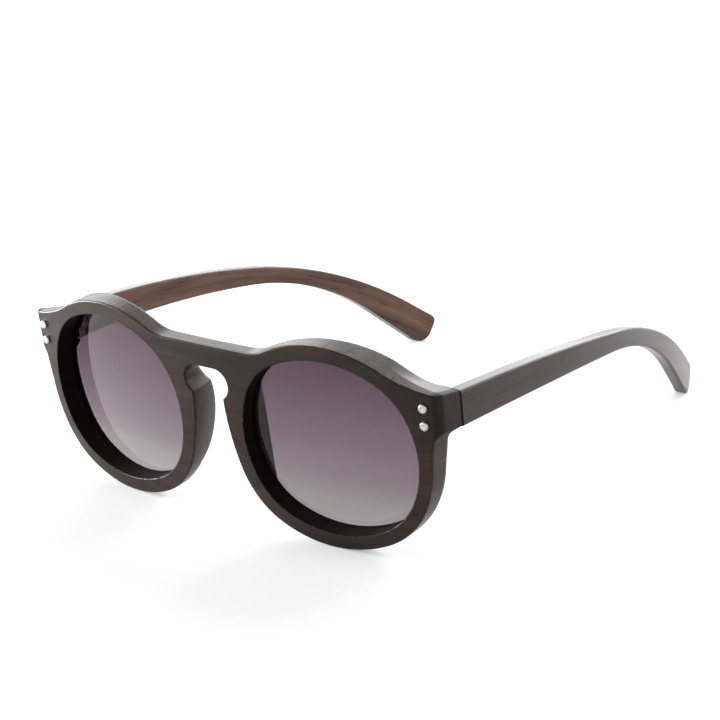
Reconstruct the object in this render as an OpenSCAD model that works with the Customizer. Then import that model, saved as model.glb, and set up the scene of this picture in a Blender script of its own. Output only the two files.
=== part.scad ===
// Wooden round sunglasses with a keyhole bridge, tinted lenses and folding side arms.
// Drawn upright, then leaned so that both rims and both arm tips stand on the floor.
// Left and right are the wearer's: the left side is at +X, the front faces -Y.

/* [Front] */
// width of each lens opening
eye_w = 49.2; // [47:0.2:51]
// height of each lens opening
eye_h = 45.4; // [44:0.2:47]
// radius of the four soft corners of an opening
eye_corner_r = 18.5; // [17.5:0.5:19.5]
// distance between the middles of the two openings
eye_pitch = 70.4; // [69.6:0.2:72]
// width of the wooden rim around an opening
rim_w = 3.9; // [3.5:0.1:4.3]
// how far the rim is thicker on its nose side
rim_shift = 0.4; // [0:0.1:0.6]
// depth of the wooden front
front_t = 5; // [4.8:0.1:5.4]
// radius of the bowed front, seen from above
front_r = 366; // [340:2:400]
// radius of its rear face, seen from above
back_r = 250; // [246:2:256]

/* [Bridge] */
// height of the bridge's upper edge above the middle of the eyes
bridge_top = 21.6; // [21:0.1:22.2]
// radius of the hollow between bridge and rim
bridge_fillet_r = 14; // [11:1:18]
// width of the keyhole
keyhole_w = 14; // [12:0.2:14.4]
// height of the keyhole's upper edge
keyhole_top = 15.7; // [15:0.1:16.4]
// height of the keyhole
keyhole_h = 8; // [7.4:0.2:8.6]
// width of the neck under the keyhole
neck_w = 9.8; // [9:0.2:10.4]

/* [End pieces] */
// how far the end piece stands out past the rim
end_out = 3.2; // [2.8:0.1:3.6]
// height of the end piece's upper edge at the front
end_top = 17.8; // [17.4:0.1:18.2]
// height of the end piece's lower edge at the front
end_low = 7.4; // [7:0.1:7.8]
// radius of the rounded outer front edge
end_round = 2; // [1.6:0.1:2.4]
// radius of the hollow between rim and end piece
end_fillet_r = 36; // [30:2:44]
// thickness of the end piece beside the hinge
end_t = 4.1; // [3.8:0.1:4.2]

/* [Lenses] */
// thickness of a lens
lens_t = 1.2; // [1:0.1:1.3]
// how deep a lens sits behind the front face
lens_back = 3.1; // [2.9:0.1:3.2]
// how far a lens reaches into the groove of its rim
lens_grip = 0.7; // [0.5:0.1:0.9]
// play of a lens in its groove
lens_play = 0.05; // [0.02:0.01:0.1]

/* [Side arms] */
// position of the joint between end piece and arm
joint_y = 15; // [14.8:0.1:15.2]
// gap between end piece and arm
joint_gap = 0.3; // [0.25:0.05:0.4]
// thickness of an arm
arm_t = 4; // [3.8:0.1:4.4]
// radius of the outer side of an arm, seen from above
arm_r = 352; // [340:2:364]
// how far back an arm stands out most
arm_apex_y = 43.5; // [41:0.5:46]
// upper edge of an arm at the joint
arm_top = 15.6; // [15.4:0.1:15.8]
// lower edge of an arm at the joint
arm_low = 6.4; // [6.2:0.1:6.6]
// fall of the upper edge at the joint
arm_top_fall = 5.5; // [5:0.1:6]
// fall of the lower edge at the joint
arm_low_fall = 3.5; // [3:0.1:4]
// fall of the upper edge where its bend starts
mid_top_fall = 15.5; // [15:0.1:16]
// fall of the lower edge where its bend starts
mid_low_fall = 11.5; // [11:0.1:12]
// where the bend of the upper edge starts
bend_top_y = 88; // [86:0.5:90]
// where the bend of the lower edge starts
bend_low_y = 85; // [83:0.5:87]
// radius of the upper edge in the bend
bend_top_r = 149; // [145:1:153]
// radius of the lower edge in the bend
bend_low_r = 92; // [89:1:95]
// fall of the upper edge of the ear end
ear_top_fall = 41; // [40:0.2:42]
// fall of the lower edge of the ear end
ear_low_fall = 44.5; // [43.5:0.1:45.5]
// radius of the upper corner of the tip
tip_top_r = 2.4; // [2:0.1:2.8]
// radius of the lower corner of the tip
tip_low_r = 4; // [3.6:0.1:4.4]
// direction of the tip's end, counted from upright
tip_turn = 121; // [118:1:124]

/* [Nose pads] */
// how far a pad stands out behind the front
pad_t = 5.6; // [4.6:0.2:6.4]
// upper end of a pad
pad_top = 15; // [14:0.5:15.5]
// lower end of a pad
pad_low = -17; // [-18:0.5:-15]
// spread of the nose side of a pad
pad_spread = 19; // [14:1:24]
// distance of a pad from the lens opening
pad_inset = 1; // [0.8:0.1:1.4]

/* [Hinges] */
// distance of the hinge axis from the outer side
axis_in = 6.3; // [6.1:0.1:6.5]
// position of the hinge axis from the front
axis_y = 14.8; // [14.6:0.1:15]
// height of the middle of the hinge
axis_z = 11.2; // [11:0.1:11.4]
// outer radius of the hinge barrels
barrel_r = 1.5; // [1.4:0.05:1.5]
// length of one barrel
barrel_h = 1.9; // [1.7:0.1:2]
// gap between two barrels
barrel_gap = 0.15; // [0.12:0.01:0.2]
// diameter of the hinge screw
pin_d = 1.2; // [1:0.05:1.3]
// running play of the hinge screw, all round
pin_play = 0.05; // [0.03:0.01:0.08]
// diameter of the hinge screw's head
pin_head_d = 2.4; // [2.2:0.1:2.6]
// thickness of the hinge screw's head
pin_head_h = 0.6; // [0.5:0.05:0.7]
// thickness of the hinge leaves
leaf_t = 1; // [0.8:0.1:1]
// play of a leaf in its pocket
leaf_play = 0.05; // [0.03:0.01:0.1]

/* [Rivets and screws] */
// distance of the rivets from the outer side
rivet_in = 3.9; // [3.8:0.1:4.1]
// height of the upper rivet
rivet_top_z = 14.8; // [14.6:0.1:14.9]
// height of the lower rivet
rivet_low_z = 10.4; // [10.2:0.1:10.6]
// diameter of a rivet head
rivet_head_d = 2.2; // [2:0.1:2.4]
// height of a rivet head
rivet_head_h = 0.6; // [0.4:0.1:0.8]
// diameter of a rivet shank
rivet_d = 1.4; // [1.2:0.1:1.5]
// diameter of an arm screw
screw_d = 1.2; // [1:0.1:1.3]
// diameter of an arm screw's head
screw_head_d = 2.2; // [2:0.1:2.4]
// length of an arm screw
screw_l = 2.8; // [2.4:0.1:3]

/* [Pose] */
// forward lean of the front when it stands on rims and tips
lean = 6.5; // [6:0.1:7]

/* [Hidden] */
$fn = 96;
// reach of a cutter past a face
over = 1;
// how far a hollow runs into the edges that it joins
blend = 0.05;
// reach of the solids that are only cut from
big = 400;
deep = 30;
eye_x = eye_pitch / 2;
rim_x = eye_x - rim_shift;
half_w = eye_w / 2;
half_h = eye_h / 2;
end_x = rim_x + half_w + rim_w + end_out;
axis_x = end_x - axis_in;
rivet_x = end_x - rivet_in;
// half angle of the flatter arcs at the sides, top and bottom of an opening
split = 25;
corner_share = cos(split) - sin(split);
cap_sum = (half_w + half_h - 2 * eye_corner_r * corner_share) / (1 - corner_share);
cap_diff = (half_w - half_h) / (sin(split) + cos(split) - 1);
side_r = (cap_sum - cap_diff) / 2;
cap_r = (cap_sum + cap_diff) / 2;
corner_x = half_w - side_r + (side_r - eye_corner_r) * cos(split);
corner_z = (side_r - eye_corner_r) * sin(split);
rim_corner_r = eye_corner_r + rim_w;

rim_corner = [rim_x - corner_x, corner_z];
bridge_fillet_z = bridge_top + bridge_fillet_r - blend;
bridge_reach = rim_corner_r + bridge_fillet_r - blend;
bridge_rise = bridge_fillet_z - corner_z;
bridge_fillet = [rim_corner[0] - sqrt(bridge_reach * bridge_reach - bridge_rise * bridge_rise), bridge_fillet_z];
bridge_dir = (bridge_fillet - rim_corner) / bridge_reach;

end_corner = [rim_x + corner_x, corner_z];
end_reach = rim_corner_r + end_fillet_r - blend;
end_rise = end_top + end_fillet_r - corner_z;
end_fillet = [end_corner[0] + sqrt(end_reach * end_reach - end_rise * end_rise), end_top + end_fillet_r];
end_dir = (end_fillet - end_corner) / end_reach;
shell_end_x = end_x - end_round;
// where the side of the rim runs straight up to the end piece
rim_side_x = rim_x + half_w - side_r;
rim_side_r = side_r + rim_w;
flare = [shell_end_x - rim_side_x, end_low];
flare_r = rim_side_r - blend;
flare_turn = atan2(flare[1], flare[0]) - acos(flare_r / norm(flare));
flare_touch = [rim_side_x + flare_r * cos(flare_turn), flare_r * sin(flare_turn)];
// how far the neck runs down into the rim, and how far it sinks into it
neck_run = 4.5;
neck_sink = 0.5;
// how far the end piece narrows on its way to the joint
end_taper = 0.45;

arm_x = end_x - end_taper;
round_x = end_x - end_round;
round_y = front_r - sqrt(pow(front_r - end_round, 2) - round_x * round_x);
round_dir = [round_x, round_y - front_r] / (front_r - end_round);
// start and end of the swelling behind the rim, and its fall towards the middle
swell_in = 30.5;
swell_x = end_x - swell_in;
swell_y = 14.2;
swell_fall = 1;
swell_low_y = front_t + back_r - sqrt(back_r * back_r - swell_x * swell_x);
// from where on the top falls towards the joint
fall_in = 24.5;
end_in_x = arm_x - end_t;
end_fall = atan((end_top - arm_top) / (joint_y - round_y));

arm_cx = arm_x - sqrt(arm_r * arm_r - pow(arm_apex_y - joint_y - joint_gap, 2));
arm_y = joint_y + joint_gap;

rim_low = -half_h - rim_w;
rim_low_y = front_r - sqrt(front_r * front_r - rim_x * rim_x);
floor_z = rim_low_y * sin(lean) + rim_low * cos(lean);
lift = -floor_z;

// side view of an arm: middles and ends of the rounds along its upper and lower edge
shaft_top_r = (bend_top_y - arm_y) / (sin(mid_top_fall) - sin(arm_top_fall));
shaft_top_m = [arm_y, arm_top] - shaft_top_r * up(arm_top_fall);
bend_top_m = shaft_top_m + (shaft_top_r - bend_top_r) * up(mid_top_fall);
ear_top = bend_top_m + bend_top_r * up(ear_top_fall);
shaft_low_r = (bend_low_y - arm_y) / (sin(mid_low_fall) - sin(arm_low_fall));
shaft_low_m = [arm_y, arm_low] - shaft_low_r * up(arm_low_fall);
bend_low_m = shaft_low_m + (shaft_low_r - bend_low_r) * up(mid_low_fall);
ear_low = bend_low_m + bend_low_r * up(ear_low_fall);
// the lower corner of the tip stands on the floor, the upper one shares its end face
tip_low_start = ear_low + tip_low_r * up(ear_low_fall);
tip_low_run = (tip_low_start * up(lean) - floor_z - tip_low_r) / sin(ear_low_fall - lean);
tip_low_m = tip_low_start + tip_low_run * along(ear_low_fall);
tip_top_start = ear_top - tip_top_r * up(ear_top_fall);
tip_top_reach = tip_low_m * up(tip_turn) + tip_low_r - tip_top_r;
tip_top_run = (tip_top_reach - tip_top_start * up(tip_turn)) / sin(tip_turn - ear_top_fall);
tip_top_m = tip_top_start + tip_top_run * along(ear_top_fall);

front_most = -bridge_top * sin(lean);
tip_top_rear = tip_top_m[0] * cos(lean) - tip_top_m[1] * sin(lean) + tip_top_r;
tip_low_rear = tip_low_m[0] * cos(lean) - tip_low_m[1] * sin(lean) + tip_low_r;
shift = -(front_most + max(tip_top_rear, tip_low_rear)) / 2;

// lower and upper end of the row of barrels
hinge_low_z = axis_z - 1.5 * barrel_h - barrel_gap;
hinge_top_z = axis_z + 1.5 * barrel_h + barrel_gap;
// front leaf: place, width and rim around its rivets
leaf_front_in = 9.3;
leaf_front_x = end_x - leaf_front_in;
leaf_front_w = 6.6;
leaf_y = 12;
leaf_margin = 1.1;
leaf_front_low = rivet_low_z - leaf_margin;
leaf_front_h = rivet_top_z - rivet_low_z + 2 * leaf_margin;
// arm leaf: place, size and its arm to the middle barrel
leaf_arm_in = 3.3;
leaf_arm_x = end_x - leaf_arm_in;
leaf_arm_y = arm_y + 0.4;
leaf_arm_l = 13.4;
leaf_arm_h = 4;
leaf_arm_t = 0.9;
leaf_arm_low = axis_z - 2.6;
web_l = 2.4;
web_t = 0.5;
web_sink = 0.2;
web_rise = 0.7;
// room around the barrels in the arm
barrel_room = 0.35;
// points on the rounds of an arm
shaft_steps = 12;
bend_steps = 20;
tip_steps = 12;
// screws of the arm leaf and the slots of all screws
screw_near_y = leaf_arm_y + 5.4;
screw_far_y = leaf_arm_y + 10.4;
screw_z = leaf_arm_low + leaf_arm_h / 2;
sink_h = 0.5;
slot_w = 0.35;
slot_h = 0.3;
// narrowing of a rivet head towards its top
rivet_taper = 0.3;

// direction square to a line falling by f, upwards
function up(f) = [sin(f), cos(f)];

// direction of a line falling by f, backwards
function along(f) = [cos(f), -sin(f)];

// points of a round about m, from a line falling by f0 to a line falling by f1
function round_points(m, r, f0, f1, steps, first = 0) =
    [for (i = [first : steps]) m + r * up(f0 + (f1 - f0) * i / steps)];

// from the upright drawing to the standing pose
module stand() {
    translate([0, shift, lift])
        rotate([lean, 0, 0])
            children();
}

// the left side as drawn, the right side as its mirror image
module side(s) {
    if (s > 0) {
        children();
    } else {
        mirror([1, 0, 0]) children();
    }
}

// a front view drawing made solid from y0 to y1
module front_solid(y0, y1) {
    translate([0, y1, 0])
        rotate([90, 0, 0])
            linear_extrude(y1 - y0)
                children();
}

// a side view drawing made solid from x0 to x1
module side_solid(x0, x1) {
    translate([x0, 0, 0])
        rotate([90, 0, 90])
            linear_extrude(x1 - x0)
                children();
}

// a plan made solid from z0 to z1
module plan_solid(z0, z1) {
    translate([0, 0, z0])
        linear_extrude(z1 - z0)
            children();
}

// slice of a circle, spread to both sides of the direction a
module slice(r, a) {
    intersection() {
        circle(r);
        polygon([[0, 0],
            2 * r * [cos(a - split), sin(a - split)],
            2 * r * [cos(a + split), sin(a + split)]]);
    }
}

// outline of a lens opening, grown all round
module eye(grow) {
    for (i = [-1, 1]) {
        for (j = [-1, 1])
            translate([i * corner_x, j * corner_z])
                circle(eye_corner_r + grow);
        translate([i * (half_w - side_r), 0])
            slice(side_r + grow, 90 - i * 90);
        translate([0, i * (half_h - cap_r)])
            slice(cap_r + grow, i * 90);
    }
}

// disc of the bowed front, seen from above, up to radius r
module bow(r) {
    translate([0, front_r])
        circle(r, $fn = 360);
}

// disc of the rear face and of the faces that follow it, seen from above, down to a depth behind the front
module back_bow(depth) {
    translate([0, front_t + back_r])
        circle(back_r + front_t - depth, $fn = 360);
}

// rim of the left lens, seen from the front, still closed
module rim_disc() {
    translate([rim_x, 0])
        eye(rim_w);
}

// left half of the bridge and its neck, seen from the front
module half_bridge() {
    difference() {
        polygon([[-over, keyhole_top - keyhole_h], [-over, bridge_top], [bridge_fillet[0], bridge_top],
            rim_corner + (rim_corner_r + over) * bridge_dir, rim_corner + (rim_corner_r - over) * bridge_dir,
            rim_corner, [rim_x - half_w - rim_w + neck_sink, -neck_run], [neck_w / 2, neck_run / 2]]);
        translate(bridge_fillet)
            circle(bridge_fillet_r);
    }
}

// end piece beside the left rim, seen from the front
module end_front() {
    difference() {
        polygon([[end_corner[0], flare_touch[1]], end_corner + (rim_corner_r - over) * end_dir,
            end_corner + (rim_corner_r + over) * end_dir, [shell_end_x, end_top + over],
            [shell_end_x, end_low], flare_touch]);
        translate(end_fillet)
            circle(end_fillet_r, $fn = 180);
    }
}

// left half of the front, seen from the front
module half_outline() {
    rim_disc();
    half_bridge();
    end_front();
}

// keyhole and neck, seen from the front
module keyhole() {
    r = keyhole_h / 2;
    for (i = [-1, 1])
        translate([i * (keyhole_w / 2 - r), keyhole_top - r])
            circle(r);
    translate([r - keyhole_w / 2, keyhole_top - keyhole_h])
        square([keyhole_w - keyhole_h, keyhole_h]);
    translate([-neck_w / 2, -half_h])
        square([neck_w, half_h + keyhole_top - r]);
}

// end piece with its rounded front edge, seen from above
module end_plan() {
    difference() {
        intersection() {
            polygon([[leaf_front_x, 0], [end_x, 0], [end_x, round_y],
                [arm_x, joint_y], [end_in_x, joint_y], [end_in_x, swell_y],
                [leaf_front_x, swell_y - swell_fall]]);
            bow(front_r);
        }
        difference() {
            polygon([[round_x, round_y], [round_x, round_y] + 2 * end_round * round_dir,
                [end_x + over, 0], [end_x + over, round_y]]);
            translate([round_x, round_y])
                circle(end_round);
        }
    }
}

// swelling of the rear face towards the end piece, seen from above
module swell_plan() {
    intersection() {
        polygon([[swell_x, 0], [end_in_x + over, 0], [end_in_x + over, swell_y],
            [end_in_x, swell_y], [swell_x, swell_low_y]]);
        bow(front_r);
    }
}

// end piece, seen from the side
module end_profile() {
    polygon([[0, end_top], [round_y, end_top], [joint_y, arm_top],
        [joint_y, arm_low], [round_y, end_low], [0, end_low]]);
}

// leans the front's drawing so that its top falls towards the joint
module falling() {
    translate([0, round_y, end_top])
        rotate([-end_fall, 0, 0])
            translate([0, -round_y, -end_top])
                children();
}

// what is taken off above the falling top
module fall_room() {
    difference() {
        translate([end_x - fall_in, round_y, 0])
            cube(deep);
        falling() front_solid(-deep, deep) half_outline();
    }
}

module end_piece() {
    intersection() {
        plan_solid(0, deep) end_plan();
        side_solid(swell_x, end_x + over) end_profile();
    }
    intersection() {
        plan_solid(end_low, deep) swell_plan();
        front_solid(-over, deep) half_outline();
        falling() front_solid(-deep, deep) half_outline();
    }
}

// pocket behind the end piece for the front leaf, with the holes of the rivets
module front_pocket() {
    high_z = leaf_front_low + leaf_front_h + leaf_play;
    leaf_low_z = leaf_front_low - leaf_play;
    open_low_z = min(leaf_front_low, hinge_low_z) - leaf_play;
    translate([leaf_front_x - leaf_play, leaf_y, leaf_low_z])
        cube([leaf_front_w + 2 * leaf_play, leaf_t + leaf_play, high_z - leaf_low_z]);
    translate([leaf_front_x - leaf_play, leaf_y, open_low_z])
        cube([end_in_x - leaf_front_x + leaf_play, joint_y, high_z - open_low_z]);
    for (z = [rivet_low_z, rivet_top_z])
        translate([rivet_x, 0, z])
            rotate([-90, 0, 0])
                cylinder(d = rivet_d, h = leaf_y + over);
}

module front_frame() {
    color([0.22, 0.17, 0.14])
        stand()
            difference() {
                union() {
                    difference() {
                        intersection() {
                            front_solid(-over, deep)
                                difference() {
                                    union() {
                                        half_outline();
                                        mirror([1, 0]) half_outline();
                                    }
                                    keyhole();
                                }
                            plan_solid(-big, big)
                                difference() {
                                    bow(front_r);
                                    back_bow(front_t);
                                }
                        }
                        for (s = [-1, 1])
                            side(s) fall_room();
                    }
                    for (s = [-1, 1])
                        side(s) end_piece();
                }
                for (s = [-1, 1])
                    side(s) {
                        front_solid(-over, deep)
                            translate([eye_x, 0]) eye(0);
                        intersection() {
                            front_solid(-over, deep)
                                translate([eye_x, 0]) eye(lens_grip + lens_play);
                            plan_solid(-big, big)
                                difference() {
                                    back_bow(lens_back - lens_play);
                                    back_bow(lens_back + lens_t + lens_play);
                                }
                        }
                        front_pocket();
                    }
            }
}

module lens(s) {
    color([0.45, 0.38, 0.43, 0.7])
        stand()
            side(s)
                intersection() {
                    front_solid(-over, deep)
                        translate([eye_x, 0]) eye(lens_grip);
                    plan_solid(-big, big)
                        difference() {
                            back_bow(lens_back);
                            back_bow(lens_back + lens_t);
                        }
                }
}

module left_lens() lens(1);

module right_lens() lens(-1);

// turns a front view drawing about the nose side of the rim and makes it solid
module spread_solid() {
    nose_x = rim_x - half_w - rim_w;
    translate([nose_x, front_t, 0])
        rotate([0, 0, -pad_spread])
            translate([-nose_x, -front_t, 0])
                front_solid(-deep, deep)
                    children();
}

// room of a pad behind the front, round at the rear
module pad_room() {
    rise = (pad_top - pad_low) / 2;
    pad_r = (rise * rise + pad_t * pad_t) / (2 * pad_t);
    intersection() {
        plan_solid(-deep, deep)
            intersection() {
                back_bow(front_t);
                square([rim_x, deep]);
            }
        side_solid(0, rim_x)
            translate([front_t + pad_t - pad_r, pad_low + rise])
                circle(pad_r, $fn = 180);
    }
}

// pad behind the nose side of a rim and the neck above it
module nose_pad(s) {
    color([0.24, 0.19, 0.15])
        stand()
            side(s)
                difference() {
                    union() {
                        intersection() {
                            pad_room();
                            spread_solid() rim_disc();
                        }
                        intersection() {
                            pad_room();
                            spread_solid() half_bridge();
                        }
                    }
                    spread_solid() keyhole();
                    front_solid(-over, deep)
                        translate([eye_x, 0]) eye(pad_inset);
                }
}

module left_nose_pad() nose_pad(1);

module right_nose_pad() nose_pad(-1);

// arm, seen from the side
module arm_profile() {
    polygon(concat(
        round_points(shaft_top_m, shaft_top_r, arm_top_fall, mid_top_fall, shaft_steps),
        round_points(bend_top_m, bend_top_r, mid_top_fall, ear_top_fall, bend_steps, 1),
        round_points(tip_top_m, tip_top_r, ear_top_fall, tip_turn, tip_steps),
        round_points(tip_low_m, tip_low_r, tip_turn, 180 + ear_low_fall, tip_steps),
        round_points(bend_low_m, bend_low_r, ear_low_fall, mid_low_fall, bend_steps),
        round_points(shaft_low_m, shaft_low_r, mid_low_fall, arm_low_fall, shaft_steps, 1)));
}

// bowed wall of an arm, seen from above
module arm_plan() {
    translate([arm_cx, arm_apex_y])
        rotate(180)
            difference() {
                circle(arm_r, $fn = 360);
                circle(arm_r - arm_t, $fn = 360);
            }
}

// pocket in an arm for its leaf, with the holes of its screws and room for the barrels
module arm_pocket() {
    translate([axis_x, arm_y - over, leaf_arm_low - leaf_play])
        cube([leaf_arm_x - axis_x, leaf_arm_y + leaf_arm_l + leaf_play - arm_y + over,
            leaf_arm_h + 2 * leaf_play]);
    translate([axis_x, axis_y, hinge_low_z - over])
        cylinder(r = barrel_r + barrel_room, h = hinge_top_z - hinge_low_z + 2 * over);
    for (y = [screw_near_y, screw_far_y])
        translate([leaf_arm_x - over, y, screw_z])
            rotate([0, 90, 0])
                cylinder(d = screw_d, h = screw_l - leaf_arm_t + over);
}

module temple(s) {
    color([0.27, 0.21, 0.17])
        stand()
            side(s)
                difference() {
                    intersection() {
                        side_solid(0, end_x + deep) arm_profile();
                        plan_solid(-big / 4, deep) arm_plan();
                    }
                    arm_pocket();
                }
}

module left_temple() temple(1);

module right_temple() temple(-1);

// one barrel at place i of the hinge, counted from the middle
module barrel(i) {
    translate([axis_x, axis_y, axis_z + i * (barrel_h + barrel_gap) - barrel_h / 2])
        cylinder(r = barrel_r, h = barrel_h);
}

// hole along the hinge axis
module axis_hole(d) {
    translate([axis_x, axis_y, axis_z - 2 * barrel_h])
        cylinder(d = d, h = 4 * barrel_h);
}

// leaf riveted behind the front, with two barrels
module front_leaf(s) {
    color([0.72, 0.72, 0.73])
        stand()
            side(s)
                difference() {
                    union() {
                        translate([leaf_front_x, leaf_y, leaf_front_low])
                            cube([leaf_front_w, leaf_t, leaf_front_h]);
                        for (i = [-1, 1]) {
                            barrel(i);
                            translate([axis_x - barrel_r, leaf_y + leaf_t / 2,
                                axis_z + i * (barrel_h + barrel_gap) - barrel_h / 2])
                                cube([2 * barrel_r, axis_y - leaf_y - leaf_t / 2, barrel_h]);
                        }
                    }
                    axis_hole(pin_d);
                    for (z = [rivet_low_z, rivet_top_z])
                        translate([rivet_x, leaf_y - over, z])
                            rotate([-90, 0, 0])
                                cylinder(d = rivet_d, h = leaf_t + 2 * over);
                }
}

module left_front_leaf() front_leaf(1);

module right_front_leaf() front_leaf(-1);

// leaf screwed inside the arm, with one barrel
module temple_leaf(s) {
    face_x = leaf_arm_x - leaf_arm_t;
    color([0.72, 0.72, 0.73])
        stand()
            side(s)
                difference() {
                    union() {
                        translate([face_x, leaf_arm_y, leaf_arm_low])
                            cube([leaf_arm_t, leaf_arm_l, leaf_arm_h]);
                        barrel(0);
                        plan_solid(axis_z - barrel_h / 2, axis_z + barrel_h / 2)
                            polygon([[axis_x, axis_y + barrel_r],
                                [axis_x + barrel_r - web_sink, axis_y + web_rise],
                                [leaf_arm_x - web_sink, leaf_arm_y],
                                [leaf_arm_x - web_sink, leaf_arm_y + web_l],
                                [face_x - web_t, leaf_arm_y + web_l]]);
                    }
                    axis_hole(pin_d + 2 * pin_play);
                    for (y = [screw_near_y, screw_far_y])
                        translate([face_x - over, y, screw_z])
                            rotate([0, 90, 0])
                                cylinder(d = screw_d, h = leaf_arm_t + 2 * over);
                }
}

module left_temple_leaf() temple_leaf(1);

module right_temple_leaf() temple_leaf(-1);

// slotted screw that is the pin of a hinge
module hinge_screw(s) {
    color([0.78, 0.78, 0.79])
        stand()
            side(s)
                difference() {
                    union() {
                        translate([axis_x, axis_y, hinge_low_z])
                            cylinder(d = pin_d, h = hinge_top_z - hinge_low_z);
                        translate([axis_x, axis_y, hinge_top_z])
                            cylinder(d = pin_head_d, h = pin_head_h);
                    }
                    translate([axis_x - pin_head_d, axis_y - slot_w / 2, hinge_top_z + pin_head_h - slot_h])
                        cube([2 * pin_head_d, slot_w, slot_h + over]);
                }
}

module left_hinge_screw() hinge_screw(1);

module right_hinge_screw() hinge_screw(-1);

// round-headed rivet through end piece and front leaf
module rivet(s, z) {
    face_y = front_r - sqrt(front_r * front_r - rivet_x * rivet_x);
    seat = rivet_head_d / 2 * rivet_x / front_r;
    color([0.83, 0.82, 0.8])
        stand()
            side(s)
                translate([rivet_x, face_y - seat, z])
                    rotate([-90, 0, 0]) {
                        cylinder(d = rivet_d, h = leaf_y + leaf_t - face_y + seat);
                        translate([0, 0, -rivet_head_h])
                            cylinder(d1 = rivet_head_d - rivet_taper, d2 = rivet_head_d, h = rivet_head_h);
                    }
}

module left_upper_rivet() rivet(1, rivet_top_z);

module left_lower_rivet() rivet(1, rivet_low_z);

module right_upper_rivet() rivet(-1, rivet_top_z);

module right_lower_rivet() rivet(-1, rivet_low_z);

// small screw that holds a leaf inside the arm
module arm_screw(s, y) {
    face_x = leaf_arm_x - leaf_arm_t;
    color([0.78, 0.78, 0.79])
        stand()
            side(s)
                difference() {
                    translate([face_x, y, screw_z])
                        rotate([0, 90, 0]) {
                            cylinder(d = screw_d, h = screw_l);
                            translate([0, 0, -sink_h])
                                cylinder(d = screw_head_d, h = sink_h);
                        }
                    translate([face_x - sink_h - over, y - slot_w / 2, screw_z - screw_head_d])
                        cube([over + slot_h, slot_w, 2 * screw_head_d]);
                }
}

module left_near_screw() arm_screw(1, screw_near_y);

module left_far_screw() arm_screw(1, screw_far_y);

module right_near_screw() arm_screw(-1, screw_near_y);

module right_far_screw() arm_screw(-1, screw_far_y);

front_frame();
left_lens();
right_lens();
left_nose_pad();
right_nose_pad();
left_temple();
right_temple();
left_front_leaf();
right_front_leaf();
left_temple_leaf();
right_temple_leaf();
left_hinge_screw();
right_hinge_screw();
left_upper_rivet();
left_lower_rivet();
right_upper_rivet();
right_lower_rivet();
left_near_screw();
left_far_screw();
right_near_screw();
right_far_screw();
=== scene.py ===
import itertools
import math

import bpy
import numpy as np
from mathutils import Matrix, Vector


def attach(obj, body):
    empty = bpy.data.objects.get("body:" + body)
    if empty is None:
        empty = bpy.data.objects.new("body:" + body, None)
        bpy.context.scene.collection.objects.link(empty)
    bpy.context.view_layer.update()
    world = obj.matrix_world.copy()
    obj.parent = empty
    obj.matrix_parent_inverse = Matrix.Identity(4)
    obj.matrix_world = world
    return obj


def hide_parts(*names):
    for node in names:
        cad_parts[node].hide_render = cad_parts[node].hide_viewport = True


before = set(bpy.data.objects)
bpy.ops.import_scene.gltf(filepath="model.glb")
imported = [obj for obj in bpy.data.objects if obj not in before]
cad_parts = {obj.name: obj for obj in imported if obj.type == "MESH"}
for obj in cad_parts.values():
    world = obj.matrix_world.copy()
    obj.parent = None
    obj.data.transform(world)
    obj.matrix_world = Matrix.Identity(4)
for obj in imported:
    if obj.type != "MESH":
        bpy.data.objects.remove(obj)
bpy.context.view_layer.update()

# Sizes in millimetres and angles in degrees, in the upright drawing of the part: x to the wearer's
# left, y back from the front, z up from the middle of the eyes.

# Lens openings
EYE_W = 49.2
EYE_H = 45.4
EYE_CORNER_R = 18.5
EYE_PITCH = 70.4            # between the middles of the two openings
EYE_SPLIT = 25              # turn at which a flat side of an opening runs into its corner

# Front: its face and its rear face are bowed
RIM_W = 3.9
RIM_SHIFT = 0.4             # the rims lie this much nearer the nose than the openings
FRONT_T = 5.0               # thickness at the middle
FRONT_R = 366.0
BACK_R = 250.0
BRIDGE_TOP = 21.6
BRIDGE_FILLET_R = 14.0      # hollow between bridge and rim
KEYHOLE_W = 14.0
KEYHOLE_TOP = 15.7
KEYHOLE_H = 8.0
NECK_W = 9.8                # width under the keyhole
NECK_SINK = 8.0             # how far below the eyes' middle the rim starts to run up to the keyhole

# End pieces
END_OUT = 3.2               # how far they stand out past the rim
END_TOP = 17.8
END_LOW = 7.4
END_ROUND = 2.0             # round of the outer front edge
END_FILLET_R = 36.0         # hollow between rim and end piece
END_T = 4.1                 # thickness beside the hinge
END_TAPER = 0.45            # how much the side draws in towards the joint
FLARE_TOP = 5.2             # height where the S under the end piece meets the straight flare of the rim
FLARE_PULL = 2.9            # how far the S leans on the flare
SIDE_PULL = 3.0             # and on the end piece's side
SIDE_SPARE = 0.6            # how far the outline runs past the end piece's side, which cuts it
SWELL_IN = 30.5             # from the outer side to where the rear face starts to swell
SWELL_Y = 14.2              # how far back it swells

# Joints
JOINT_Y = 15.0
JOINT_GAP = 0.3
SEAM = 0.1                  # how far each side of the joint is eased off
PAINT_DEPTH = 0.15            # how far from a wall a face still takes its material: painted shade in the lens openings and the joints, and an arm's inner colour

# Arms; falls of an edge: at the joint, where the bend starts, at the ear
ARM_T = 4.0
ARM_R = 352.0               # bow of the outer side, seen from above
ARM_APEX_Y = 43.5           # where an arm stands out most
ARM_TOP = 15.6
ARM_LOW = 6.4
TOP_FALLS = (5.5, 15.5, 41.0)
LOW_FALLS = (3.5, 11.5, 44.5)
BEND_TOP_Y = 88.0           # where the bend of the upper edge starts
BEND_LOW_Y = 85.0
BEND_TOP_R = 149.0
BEND_LOW_R = 92.0
TIP_TOP_R = 2.4
TIP_LOW_R = 4.0
TIP_TURN = 121.0            # turn of the end face

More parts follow.
